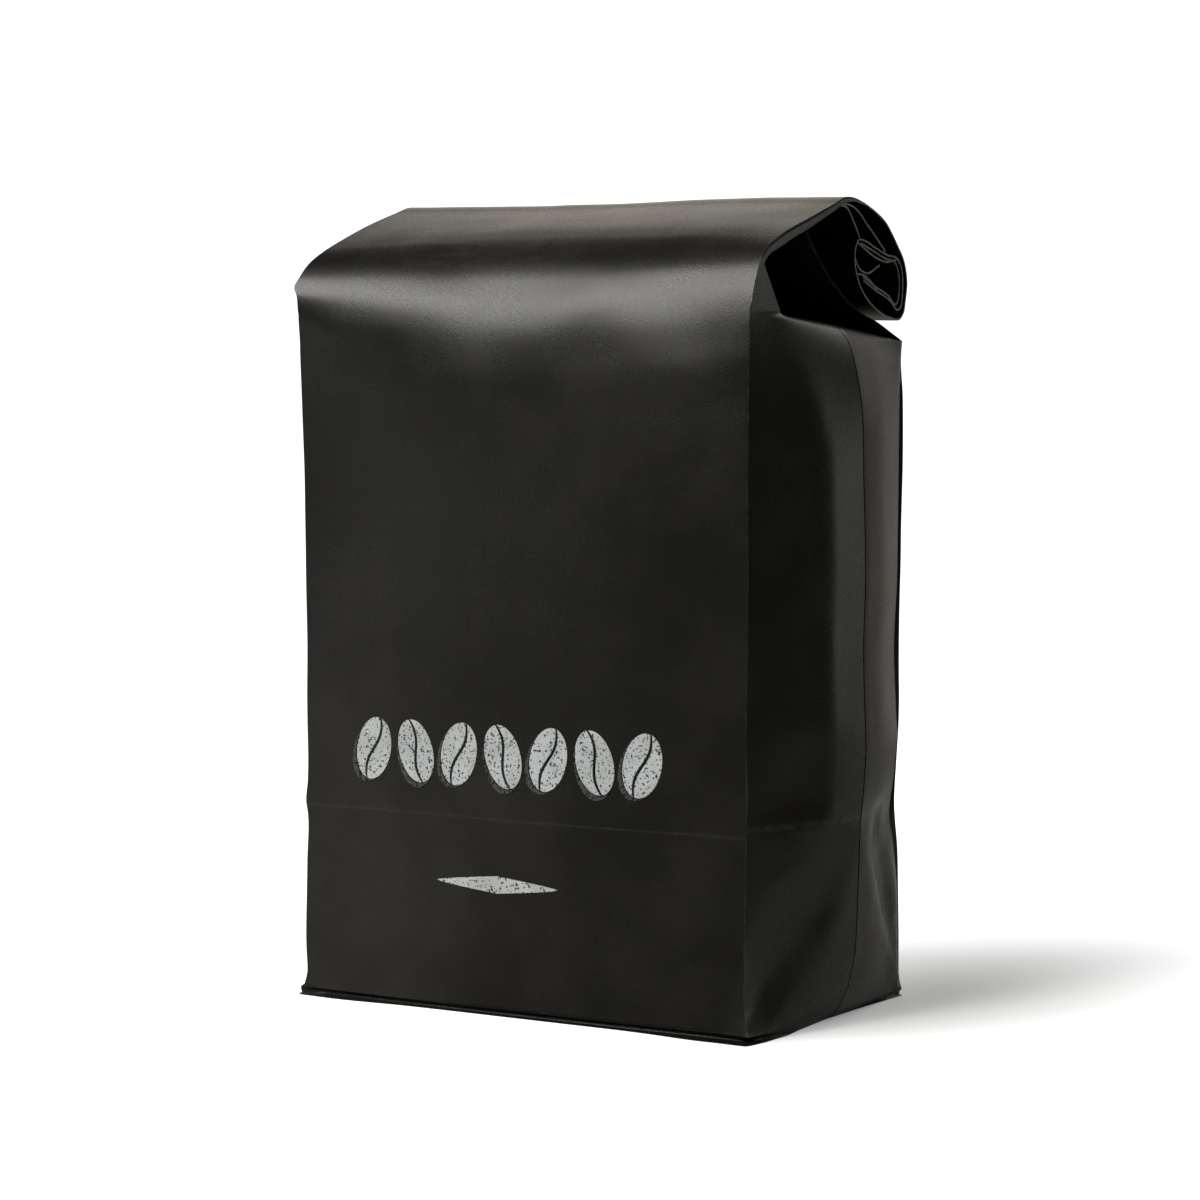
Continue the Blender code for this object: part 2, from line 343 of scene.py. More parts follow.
def outline_keys(across):
    """Keys of the outline up the front, over the roof and round the roll; across runs from -1 to 1."""
    right = (1.0 + across) / 2.0
    middle = 1.0 - abs(across) ** (2.8 + 0.6 * across)
    lists = [
        np.array([*FRONT_LEFT, *ROOF_LEFT]), np.array([*FRONT_MIDDLE, *ROOF_MIDDLE]),
        np.array([*FRONT_RIGHT, *ROOF_RIGHT]),
    ]
    body = (lists[0] * (1.0 - right) + lists[2] * right) * (1.0 - middle) + lists[1] * middle
    shift = np.array([-1.2, 0.7]) * (1.0 - right) * (1.0 - middle) + np.array([-0.4, 0.1]) * middle
    return np.concatenate([body, np.array(ROLL) + shift])


class Section:
    """One section of the wrapper, in the Y-Z plane, as the named stretches of its closed outline."""

    def __init__(self, shape, x):
        half = shape.panel_width / 2 / MM
        across = x / half
        self.keys = outline_keys(across)
        self.path = run_through(self.keys, WALL_SPANS + UPPER_SPANS + ROOF_SPANS + roll_spans())
        wall_end = sum(WALL_SPANS)
        self.upper = self.path[wall_end:]
        self.roof_row = sum(UPPER_SPANS)
        self.join_row = self.roof_row + sum(ROOF_SPANS[:3]) + 8
        self.ridge_row = self.roof_row + sum(ROOF_SPANS)
        levels = wall_levels()
        top = self.keys[CORNER_KEY][1]
        stretch = (top - 126.0) / (levels[-1] - 126.0)
        z = np.where(levels > 126.0, 126.0 + (levels - 126.0) * stretch, levels)
        self.front = np.stack([np.interp(z, self.path[:, 1][: wall_end + 1], self.path[:, 0][: wall_end + 1]), z], 1)
        self.rear = self.rear_wall(levels, half, x, across)
        self.under = beside(self.upper, self.thickness(shape))
        lean = np.array([self.under[self.join_row], *LEAN, self.rear[-1]])
        lean[1:-1, 1] += 0.9 * (1.0 - abs(across) ** 2.2) * np.sin(np.linspace(0.3, 2.8, len(LEAN)))
        self.lean = run_through(lean, [3] * (len(lean) - 1))

    def thickness(self, shape):
        """Of the layers at each row from the gusset's corner to the end of the roll."""
        rows = np.arange(len(self.upper))
        full, thin = shape.flattened / MM, shape.layer / MM
        marks = [self.roof_row, self.roof_row + 13, self.join_row, self.ridge_row, self.ridge_row + 9]
        return np.interp(rows, marks, [1.6, full * 0.9, full * 0.8, 1.1, thin])

    def rear_wall(self, levels, half, x, across):
        """The rear panel, which curves forward to its creases."""
        z = np.where(levels > 60.0, 60.0 + (levels - 60.0) * (138.9 - 60.0) / (levels[-1] - 60.0), levels)
        panel = height_curve(BACK_PANEL, z)
        crease = height_curve(BACK_CREASE, z) + 0.9 * ease((z - 30.0) / 20.0)
        swell = 1.8 * (1.0 - abs(across) ** 2.2) * np.sin(np.pi * np.clip(z / 150.0, 0, 1))
        corner = np.interp(half - abs(x), REAR_CORNER[0], REAR_CORNER[1])
        y = panel + swell - (panel - crease) * corner
        return np.stack([y, z], 1)


# Modelling


def pick_nothing():
    if bpy.context.object is not None and bpy.context.object.mode != "OBJECT":
        bpy.ops.object.mode_set(mode="OBJECT")
    bpy.ops.object.select_all(action="DESELECT")


def pick(*things):
    pick_nothing()
    for thing in things:
        thing.select_set(True)
    bpy.context.view_layer.objects.active = things[0]


def sheet(name, points, wear_and_highlight=None):
    """A grid with a vertex at each of the points, which are rows of columns in millimetres."""
    rows, across = points.shape[:2]
    pick_nothing()
    bpy.ops.mesh.primitive_grid_add(x_subdivisions=across - 1, y_subdivisions=rows - 1, size=1.0)
    grid = bpy.context.object
    grid.name = name
    grid.data.vertices.foreach_set("co", (points * MM).astype(np.float32).ravel())
    # Each vertex holds how strongly the pale line of wear and painted highlight shows there.
    attribute = grid.data.attributes.new("wear_and_highlight", "FLOAT", "POINT")
    worn_and_lit = np.zeros((rows, across)) if wear_and_highlight is None else wear_and_highlight
    attribute.data.foreach_set("value", worn_and_lit.astype(np.float32).ravel())
    grid.data.update()
    return grid


def weld(pieces, name):
    """The pieces as one mesh, joined where their vertices meet, with its faces pointing out."""
    pick(*pieces)
    bpy.ops.object.join()
    welded = bpy.context.object
    welded.name = name
    welded.data.name = name
    bpy.ops.object.mode_set(mode="EDIT")
    bpy.ops.mesh.select_all(action="SELECT")
    bpy.ops.mesh.remove_doubles(threshold=0.002 * MM)
    bpy.ops.mesh.normals_make_consistent(inside=False)
    bpy.ops.object.mode_set(mode="OBJECT")
    return welded


def apply_modifier(thing, kind, **values):
    pick(thing)
    modifier = thing.modifiers.new(kind.title(), kind)
    for key, value in values.items():
        setattr(modifier, key, value)
    bpy.ops.object.modifier_apply(modifier=modifier.name)


def finish_piece(thing, material, angle=50.0):
    pick(thing)
    bpy.ops.object.shade_smooth_by_angle(angle=math.radians(angle))
    thing.data.materials.clear()
    thing.data.materials.append(material)
    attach(thing, BODY)
    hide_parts("bag")


# The wrapper


def wrapper_rows(shape):
    """The lofted sheet's points, and the numbers of the rows where its stretches begin."""
    half = shape.panel_width / 2 / MM
    corner = shape.crease_radius / MM * 0.293
    shares = np.array(GUSSET_SHARES)
    xs = columns(shape)
    sections = []
    for x in xs:
        cut = Section(shape, x)
        end = abs(x) > half - 0.001
        front, rear, upper = cut.front.copy(), cut.rear.copy(), cut.upper.copy()
        if end:
            front[:, 0] += corner
            rear[:, 0] -= corner
        lip = float(ease((x + half) / LEFT_CLOSED))
        reach = sum(amount * math.exp(-(((x - at) / breadth) ** 2)) for at, breadth, amount in BASE_REACH)
        front_flap = [(front[0, 0] - out * lip - (reach if z < 0.2 else 0.0), z) for out, z in FLAP]
        rear_flap = [(rear[0, 0] + out * REAR_FLAP * lip, z) for out, z in FLAP]
        under = cut.under[cut.join_row:][::-1]
        lean = cut.lean[1:-1]
        base_y = rear_flap[0][0] + (front_flap[0][0] - rear_flap[0][0]) * (1.0 - shares[::-1][1:])
        base = np.stack([base_y, np.zeros(len(base_y))], 1)
        stretches = [front_flap, front, upper[1:], under, lean, rear[::-1], rear_flap[::-1], base]
        sections.append(np.concatenate([np.asarray(s, float) for s in stretches]))
    starts = np.cumsum([0, *(len(s) for s in stretches)])
    points = np.zeros((len(sections[0]), len(xs), 3))
    for i, (x, outline) in enumerate(zip(xs, sections)):
        points[:, i, 0] = x
        points[:, i, 1:] = outline
    flap_out = np.array([out for out, _ in FLAP])
    lips = ease((xs + half) / LEFT_CLOSED)
    rows = dict(zip(("flap", "front", "upper", "under", "lean", "rear", "rear_flap", "base", "end"), starts))
    for first, out in ((rows["flap"], flap_out), (rows["rear_flap"], flap_out[::-1] * REAR_FLAP)):
        points[first : first + len(out), :, 0] *= 1.0 + out[:, None] * lips[None, :] / half
    for first, last in ((rows["front"], rows["upper"]), (rows["rear"], rows["rear_flap"])):
        points[first:last, 0, 0] += corner
        points[first:last, -1, 0] -= corner
    cut_rear_notch(points, rows)
    shift_left_edge(points, rows)
    rows["join"] = cut.join_row
    rows["roof"] = cut.roof_row
    rows["ridge"] = cut.ridge_row
    return points, rows


def cut_rear_notch(points, rows):
    """Behind each rear crease runs a thin dark notch, between it and the edge of the rear panel."""
    rear = points[rows["rear"] : rows["rear_flap"]]
    open_by = ease((rear[:, 0, 2] - 16.0) / 18.0) * ease((134.0 - rear[:, 0, 2]) / 8.0)
    for i, shift in enumerate(REAR_CORNER[2], 1):
        rear[:, i, 0] += shift * open_by
        rear[:, -1 - i, 0] -= shift * open_by


def shift_left_edge(points, rows):
    """The left crease wanders a little; the columns near it follow."""
    part = points[rows["front"] : rows["upper"] + sum(UPPER_SPANS) + sum(ROOF_SPANS[:4])]
    shift = height_curve(LEFT_EDGE, np.clip(part[:, 0, 2], 2.2, 161.0))
    reach = np.exp(-(part[:, :, 0] - part[:, :1, 0]) / 14.0)
    part[:, :, 0] += shift[:, None] * reach


def wrapper_wear_and_highlight(points, rows):
    """Pale lines along the side creases, the base fold and the cut ends of the roll: rubbed paper, and a painted
    highlight where the rounded folds catch the light.
    """
    wear_and_highlight = np.zeros(points.shape[:2])
    wall = slice(rows["front"], rows["upper"] + rows["roof"])
    rear = slice(rows["rear"], rows["rear_flap"])
    for stretch, amount in ((wall, 0.48), (rear, 0.8)):
        wear_and_highlight[stretch, 0] = amount
        wear_and_highlight[stretch, -1] = amount
    fold = rows["front"] + int(np.argmin(abs(wall_levels() - 40.7)))
    wear_and_highlight[fold] = np.maximum(wear_and_highlight[fold], 0.2)
    shoulder = slice(rows["upper"] - 6, rows["upper"] + rows["roof"])
    wear_and_highlight[shoulder, 0] = 0.6
    wear_and_highlight[shoulder, -1] = 0.6
    leaning = slice(rows["lean"], rows["rear"])
    wear_and_highlight[leaning, 0] = 0.7
    wear_and_highlight[leaning, -1] = 0.7
    roll = slice(rows["upper"] + rows["ridge"], rows["lean"] - rows["ridge"] + rows["join"])
    wear_and_highlight[roll, 0] = 0.55
    wear_and_highlight[roll, -1] = 0.55
    return wear_and_highlight


# The gussets

PANEL_DEPTH = 64.5
TOP_REACH = 22.6  # height over which the gusset turns in below its top fold
FOLD_OUT = 1.2  # how far the top fold stands out at its front corner
CORNER_SHARE = GUSSET_SHARES[CORNER_COLUMN]
GROOVE = 0.6  # depth of the middle crease
REAR_EDGE = 0.42, 0.9  # how far the gusset's rear edge rolls over towards the rear crease, and its reach
MIDDLE_CREASE = [(9.3, 38.0), (9.6, 60.0), (9.5, 85.0), (8.9, 105.0), (8.4, 122.0), (8.4, 145.0)]


def wall_shape(share, height):
    """The gusset's plan, 0 at the creases and 1 at the middle one, with a soft ridge before it."""
    ridge = 0.315 - 0.13 * ease((height - 112.0) / 34.0)
    rise = 0.85 * ridge / 0.315
    before = np.where(share < ridge, rise * share / ridge, rise + (1 - rise) * (share - ridge) / (0.5 - ridge))
    return np.where(share > 0.5, 1.0 - np.maximum(2.0 * share - 1.0, 0.0) ** 1.25, before)


# The folds at the foot of the gusset: share of its breadth, height, and how far it stands out. The first
# lines are fold lines, each a run of points; the last list has single points between them.
FOOT_LINES = [
    [
        (0.0, 3.0, 0.0), (0.09, 9.5, 0.3), (0.16, 14.6, 1.5), (0.288, 23.8, 4.9), (0.383, 30.6, 7.2),
        (0.46, 36.0, 8.7), (0.5, 39.0, 9.4),
    ],
    [
        (0.5, 39.0, 9.4), (0.5, 35.6, 8.9), (0.5, 29.0, 8.3), (0.5, 22.5, 7.8), (0.5, 14.6, 7.2),
        (0.5, 8.0, 5.8), (0.5, 2.8, 3.4), (0.5, 0.0, 0.2),
    ],
    [
        (0.5, 39.0, 9.4), (0.545, 35.8, 9.0), (0.6, 31.8, 8.1), (0.7, 24.6, 5.7), (0.768, 19.6, 4.1),
        (0.875, 11.9, 2.0), (0.95, 6.0, 0.9), (1.0, 2.9, 0.0),
    ],
    [
        (0.455, 32.5, 8.5), (0.4, 25.0, 7.8), (0.335, 18.5, 7.0), (0.284, 13.3, 5.9), (0.218, 8.1, 4.5),
        (0.13, 3.5, 2.8), (0.08, 0.0, 2.4),
    ],
    [(0.7, 41.0, 4.9), (0.76, 31.0, 2.9), (0.84, 22.0, 1.1), (0.93, 12.0, 0.5)],
]
FOOT_POINTS = [
    (0.0, 0.0, 0.0), (0.2, 0.0, 2.7), (0.3, 0.0, 1.6), (0.4, 0.0, 0.9), (0.3, 6.0, 5.0),
    (0.4, 8.0, 5.9), (0.42, 16.0, 7.1), (0.6, 20.0, 7.1), (0.62, 8.0, 5.3), (0.74, 8.0, 4.0),
    (0.6, 0.0, 0.0), (0.72, 0.0, -0.3), (0.84, 0.0, -0.4), (0.93, 0.0, -0.3), (1.0, 0.0, 0.0),
    (0.4, 2.8, 3.3), (0.28, 2.8, 3.4), (0.6, 2.8, 2.9), (0.74, 2.8, 2.1), (0.88, 2.8, 1.0),
    (0.86, 36.0, 3.2), (0.92, 28.0, 1.9), (0.95, 20.0, 1.1), (0.1, 30.0, 2.4), (0.2, 33.0, 4.9),
    (0.3, 36.0, 6.7),
]
FOOT_TOP = 42.0, 45.0
VALLEY = 0.25  # depth of the valley along the base fold, which fades before the middle crease
DENT_ABOVE = 0.9  # how far the wall steps in above the base fold


def wall_bulge(shape, share, height):
    """How far the gusset stands out above the folds at its foot."""
    full = height_curve(MIDDLE_CREASE, np.clip(height, 38.0, 145.0)) * shape.gusset_bulge / CAD_BULGE
    dent = DENT_ABOVE * ease((height - 41.0) / 5.0) * ease((64.0 - height) / 16.0)
    return full * wall_shape(share, height) - dent * np.exp(-(((share - 0.2) / 0.14) ** 2))


def foot_mesh(shape):
    """The folds at the foot of the gusset as triangles of (share, height, out)."""
    points, edges = [], []
    for line in FOOT_LINES:
        edges += [(len(points) + i, len(points) + i + 1) for i in range(len(line) - 1)]
        points += line
    points += FOOT_POINTS
    for height in (10.0, 20.0, 30.0):
        points += [(0.0, height, 0.0), (1.0, height, 0.0)]
    for height in FOOT_TOP:
        shares = np.array([0.0, 0.1, 0.2, 0.31, 0.4, 0.5, 0.58, 0.66, 0.74, 0.82, 0.9, 1.0])
        outs = wall_bulge(shape, shares, height)
        if height == FOOT_TOP[0]:
            outs = outs - VALLEY * np.exp(-(((shares - 0.2) / 0.14) ** 2))
        points += [(share, height, out) for share, out in zip(shares.tolist(), outs.tolist())]
    flat = [Vector((share * PANEL_DEPTH, height)) for share, height, _ in points]
    verts, _, faces, origin, _, _ = delaunay_2d_cdt(flat, edges, [], 0, 0.001)
    outs = [points[came[0]][2] for came in origin]
    found = np.array([(vert.x / PANEL_DEPTH, vert.y, out) for vert, out in zip(verts, outs)])
    return found[np.array(faces)]


def read_mesh(triangles, share, height):
    """The third value of the triangles at each place, worked out from the corners round it."""
    found = np.full(share.shape, np.nan)
    for a, b, c in triangles:
        area = (b[0] - a[0]) * (c[1] - a[1]) - (c[0] - a[0]) * (b[1] - a[1])
        u = ((share - a[0]) * (c[1] - a[1]) - (c[0] - a[0]) * (height - a[1])) / area
        v = ((b[0] - a[0]) * (height - a[1]) - (share - a[0]) * (b[1] - a[1])) / area
        within = (u >= -1e-6) & (v >= -1e-6) & (u + v <= 1.0 + 1e-6)
        found = np.where(within, a[2] + u * (b[2] - a[2]) + v * (c[2] - a[2]), found)
    return found


def bulge(shape, share, height, below_top):
    """How far the gusset stands out from the plane of its creases."""
    share = np.broadcast_to(share, height.shape)
    wall = wall_bulge(shape, share, height)
    foot = read_mesh(foot_mesh(shape), share, height)
    foot = np.where(np.isnan(foot), wall, foot)
    for _ in range(1):
        middle = foot[1:-1, 1:-1]
        around = foot[:-2, 1:-1] + foot[2:, 1:-1] + foot[1:-1, :-2] + foot[1:-1, 2:]
        foot[1:-1, 1:-1] = middle * 0.5 + around * 0.125
    out = foot + (wall - foot) * ease((height - FOOT_TOP[0]) / (FOOT_TOP[1] - FOOT_TOP[0]))
    fold = FOLD_OUT * np.where(
        share < CORNER_SHARE, share / CORNER_SHARE, np.exp(-(share - CORNER_SHARE) / 0.25)
    )
    left = np.clip(below_top / TOP_REACH, 0.0, 1.0)
    rounded = np.sqrt(left * (2.0 - left))
    slow = ease(below_top / 40.0)
    turn = ease((share - 0.08) / 0.2)
    near = slow + (rounded - slow) * 0.8
    out = fold + (out - fold) * (near * (1.0 - turn) + rounded * turn)
    across = (share - 0.5) * PANEL_DEPTH
    groove = GROOVE * (abs(across) < 0.1) * ease(below_top / 6.0)
    edge = REAR_EDGE[0] * (1.0 - np.exp((share - 1.0) * PANEL_DEPTH / REAR_EDGE[1]))
    edge = edge * ease((share - 0.55) / 0.2) * ease(below_top / 6.0) * ease(height / 20.0)
    return out + edge - groove


def gusset_points(shape, points, rows, side):
    """The gusset's grid: its base edge, the rows of the flap and the rows of its wall."""
    column = -1 if side > 0 else 0
    shares = np.array(GUSSET_SHARES)
    base = points[rows["base"] - 1 : rows["end"], column][::-1]
    front = points[rows["flap"] : rows["upper"], column]
    rear = points[rows["rear"] : rows["base"], column][::-1]
    grid = front[:, None, :] + (rear - front)[:, None, :] * shares[None, :, None]
    height = grid[:, :, 2]
    top = front[-1, 2] + (rear[-1, 2] - front[-1, 2]) * shares
    out = bulge(shape, shares[None, :], height, top[None, :] - height)
    flap = np.array([out_by for out_by, _ in FLAP] + [0.0] * (len(front) - len(FLAP)))
    fade = np.exp(-np.minimum(shares, 1.0 - shares) * 63.0 / 5.0)
    flap = flap[:, None] * (1.0 + (REAR_FLAP - 1.0) * shares[None, :]) * (side > 0)
    grid[:, :, 0] += side * (out - flap * (1.0 - fade[None, :]))
    grid[:, 0] = front
    grid[:, -1] = rear
    return np.concatenate([base[None, :, :], grid])


def rim_points(shape, points, rows, side):
    """The side of the flattened top and of the roll, with the groove under the edge of the roof."""
    column = -1 if side > 0 else 0
    last = rows["under"]
    outer = points[rows["upper"] - 1 : last, column][rows["roof"]:]
    path = points[rows["upper"] - 1 : last, column, 1:]
    thick = Section(shape, side * shape.panel_width / 2 / MM).thickness(shape)
    inner = beside(path, thick)[rows["roof"]:]
    inner = np.concatenate([outer[:, :1] * 0 + outer[:, :1], inner], 1)
    turned = points[rows["under"] : rows["lean"], column][::-1]
    inner[rows["join"] - rows["roof"] :] = turned
    shares = np.array(RIM_SHARES)
    grid = outer[:, None, :] + (inner - outer)[:, None, :] * shares[None, :, None]
    thick = thick[rows["roof"]:]
    relief = np.array(RIM_RELIEF)[None, :] * ease((thick - 0.6) / 1.2)[:, None]
    relief[0] = 0.0
    grid[:, :, 0] += side * relief
    return grid


def facet_points(shape, points, rows, gusset, rim, side):
    """The small flat triangle between the front crease, the foot of the roof and the top fold."""
    column = -1 if side > 0 else 0
    count = rows["roof"] + 1
    crease = points[rows["upper"] - 1 : rows["upper"] - 1 + count, column]
    low, high = gusset[-1, CORNER_COLUMN], rim[0, -1]
    t = np.linspace(0.0, 1.0, count)[:, None]
    edge = low + (high - low) * t
    low_shares = np.array(GUSSET_SHARES[: CORNER_COLUMN + 1]) / CORNER_SHARE
    shares = low_shares[None, :] * (1.0 - t) + np.array(RIM_SHARES)[None, :] * t
    grid = crease[:, None, :] + (edge - crease)[:, None, :] * shares[:, :, None]
    grid[0] = gusset[-1, : CORNER_COLUMN + 1]
    grid[-1] = rim[0]
    return grid


# Pale lines on the gusset's creases and its base fold: rubbed paper, and a painted highlight on the rounded folds.
def crease_wear_and_highlight(grid, amount):
    wear_and_highlight = np.zeros(grid.shape[:2])
    fold = 1 + len(FLAP) + int(np.argmin(abs(wall_levels() - FOOT_TOP[0])))
    wear_and_highlight[fold] = 0.22
    wear_and_highlight[8:, 0] = amount + 0.16
    wear_and_highlight[8:, -3:] = amount + 0.48
    return wear_and_highlight


def fold_pockets(bag):
    """Closes the open mouth of each gusset with a dark hollow that narrows to a point inside."""
    count = len(bag.data.vertices)
    for side in (1, -1):
        pick(bag)
        bpy.ops.object.mode_set(mode="EDIT")
        bpy.ops.mesh.select_mode(type="VERT")
        bpy.ops.mesh.select_non_manifold(
            extend=False, use_wire=False, use_boundary=True, use_multi_face=False,
            use_non_contiguous=False, use_verts=False,
        )
        bpy.ops.object.mode_set(mode="OBJECT")
        for vert in bag.data.vertices:
            if vert.co.x * side < 0:
                vert.select = False
        for edge in bag.data.edges:
            edge.select = all(bag.data.vertices[i].select for i in edge.vertices)
        bpy.ops.object.mode_set(mode="EDIT")
        tip = Vector((side * 0.022, -0.008, 0.1535))
        before = (1.0, 1.0)
        for depth, breadth in ((0.992, 1.0), (0.97, 1.0), (0.9, 0.985), (0.75, 0.95), (0.5, 0.85), (0.25, 0.6), (0.08, 0.25)):
            bpy.ops.mesh.extrude_region_move()
            around = breadth / before[1]
            bpy.ops.transform.resize(
                value=(depth / before[0], around, around), center_override=tip,
            )
            before = (depth, breadth)
        bpy.ops.mesh.extrude_region_move()
        bpy.ops.mesh.merge(type="CENTER")
        bpy.ops.object.mode_set(mode="OBJECT")
    pick(bag)
    bpy.ops.object.mode_set(mode="EDIT")
    bpy.ops.mesh.select_all(action="SELECT")
    bpy.ops.mesh.normals_make_consistent(inside=False)
    bpy.ops.object.mode_set(mode="OBJECT")
    # The pocket's mouth keeps a faint pale line of wear and painted highlight; the hollow inside has none.
    wear_and_highlight = bag.data.attributes["wear_and_highlight"].data
    for vert in list(bag.data.vertices)[count:]:
        wear_and_highlight[vert.index].value *= 0.7 if abs(vert.co.x) > 0.0535 else 0.0


# On the front: place across and up, reach across and up, and how far the paper moves in
DENTS = [
    (-28.0, 148.0, 13.0, 8.0, -0.65), (-7.0, 148.0, 8.0, 8.0, 0.1), (20.0, 148.0, 11.0, 8.0, -0.55),
    (40.0, 144.0, 13.0, 13.0, 0.35),
]


def dent_front(places):
    x, y, z = places.T / MM
    depth = sum(
        amount * np.exp(-(((x - across) / reach) ** 2) - ((z - up) / rise) ** 2)
        for across, up, reach, rise, amount in DENTS
    )
    places[:, 1] += depth * ease((-y - 12.0) / 10.0) * MM


def undulate(bag, depth):
    """Moves the paper by broad and by finer dents. The base stays flat."""
    count = len(bag.data.vertices)
    places = np.empty(count * 3, np.float32)
    bag.data.vertices.foreach_get("co", places)
    places = places.reshape(-1, 3)
    dent_front(places)
    for i in range(count):
        place = Vector(places[i])
        hold = min(1.0, place.z / 0.010)
        broad = noise.noise_vector(place / 0.034)
        fine = noise.noise_vector(place / 0.011 + Vector((7.3, 1.9, 4.4)))
        places[i] += np.array((broad + fine * 0.3) * depth * hold)
        for corner, reach, shift in PINCHED:
            places[i] += np.array(shift) * math.exp(-(((place - Vector(corner)).length / reach) ** 2))
    bag.data.vertices.foreach_set("co", places.ravel())
    bag.data.update()


def wrapper(shape):
    points, rows = wrapper_rows(shape)
    parts = [sheet("loft", points, wrapper_wear_and_highlight(points, rows))]
    for side in (1, -1):
        gusset = gusset_points(shape, points, rows, side)
        rim = rim_points(shape, points, rows, side)
        facet = facet_points(shape, points, rows, gusset, rim, side)
        # Pale edges of the rim and of the roll's cut ends: wear, and a painted highlight where they catch the light.
        rim_wear_and_highlight = np.zeros(rim.shape[:2])
        rim_wear_and_highlight[:, 0] = 0.4
        rim_wear_and_highlight[rows["ridge"] - rows["roof"] + 6 :] = 0.55
        parts.append(sheet("gusset", gusset, crease_wear_and_highlight(gusset, 0.32)))
        parts.append(sheet("rim", rim, rim_wear_and_highlight))
        parts.append(sheet("facet", facet))
    bag = weld(parts, "wrapper")
    fold_pockets(bag)
    undulate(bag, shape.unevenness)
    return bag


# The loose layers that show in the ends of the roll

LAYERS = {
    "A": [(5.5, 166.0), (8.9, 165.5), (11.3, 163.3), (13.3, 161.0), (14.3, 159.6)],
    "B": [
        (6.4, 166.3), (11.3, 166.0), (14.3, 164.8), (17.3, 162.8), (20.8, 160.6), (23.8, 158.6),
        (25.8, 157.2),
    ],
    "C": [
        (15.2, 158.6), (21.0, 157.1), (26.6, 155.7), (30.0, 155.3), (31.1, 154.4), (32.1, 148.5),
        (31.6, 147.1), (30.7, 146.4), (27.6, 148.0), (21.1, 150.0), (16.2, 151.7),
    ],
    "E": [(13.3, 158.7), (22.8, 155.5), (25.9, 155.1), (30.5, 155.7)],
    "F": [(12.3, 155.8), (14.3, 153.5), (17.3, 152.5), (23.3, 154.3)],
    "G": [(12.6, 152.2), (16.3, 152.1), (18.8, 151.3), (22.4, 149.1)],
}


def roll_layers(shape):
    half = shape.panel_width / 2 / MM
    parts = []
    for i, keys in enumerate(LAYERS.values()):
        line = run_through(keys, [5] * (len(keys) - 1))
        end = half - 0.25 - 0.12 * (i % 3)
        xs = np.array([-end, -end + 0.3, *np.linspace(-end + 6.0, end - 6.0, 15), end - 0.3, end])
        grid = np.zeros((len(line), len(xs), 3))
        grid[:, :, 0] = xs
        drift = np.stack([-1.2 * (0.5 - xs / 2 / half), 0.7 * (0.5 - xs / 2 / half)], 1)
        grid[:, :, 1:] = line[:, None, :] + drift[None, :, :]
        # Pale cut ends of the loose layers: wear, and a painted highlight where they catch the light.
        wear_and_highlight = np.zeros(grid.shape[:2])
        wear_and_highlight[:, 0] = 0.55
        wear_and_highlight[:, -1] = 0.55
        parts.append(sheet("layer", grid, wear_and_highlight))
    layers = weld(parts, "roll_layers")
    apply_modifier(layers, "SOLIDIFY", thickness=shape.layer, offset=0.0)
    return layers


# The ink


def motif(outline_left, outline_right, across=7):
    """A patch of ink between two outlines over the same rows, as (x, z) in millimetres."""
    t = np.linspace(0.0, 1.0, across)[None, :, None]
    patch = outline_left[:, None, :] * (1.0 - t) + outline_right[:, None, :] * t
    return patch


def turned(patch, angle, x, z):
    c, s = math.cos(angle), math.sin(angle)
    moved = np.zeros((*patch.shape[:2], 3))
    moved[:, :, 0] = patch[:, :, 0] * c - patch[:, :, 1] * s + x
    moved[:, :, 2] = patch[:, :, 0] * s + patch[:, :, 1] * c + z
    moved[:, :, 1] = -50.0
    return moved


def bean_halves(length, width, slit=0.75):
    """The two halves of a bean, either side of its curved slit."""
    v = np.sin(np.linspace(-0.5, 0.5, 19) * math.pi) * 0.995
    z = v * length / 2
    rim = width / 2 * np.sqrt(1.0 - v**2)
    curve = 0.11 * width * np.sin(v * math.pi * 0.9)
    gap = slit / 2 * (1.0 - 0.35 * v**2)
    left_in = np.maximum(curve - gap, -rim)
    right_in = np.minimum(curve + gap, rim)
    lines = [np.stack([x, z], 1) for x in (-rim, left_in, right_in, rim)]
    return motif(*lines[:2]), motif(*lines[2:])


def bean_shade(length, width, drop=1.1):
    """The crescent that shows beside and under a bean."""
    a = np.radians(np.linspace(128.0, 300.0, 25))
    inner = np.stack([np.cos(a) * width / 2 * 1.03, np.sin(a) * length / 2 * 1.03], 1)
    grow = np.sin(np.linspace(0.0, math.pi, 25))[:, None] * np.array([-0.55, -1.0]) * drop
    return motif(inner, inner + grow, across=4)


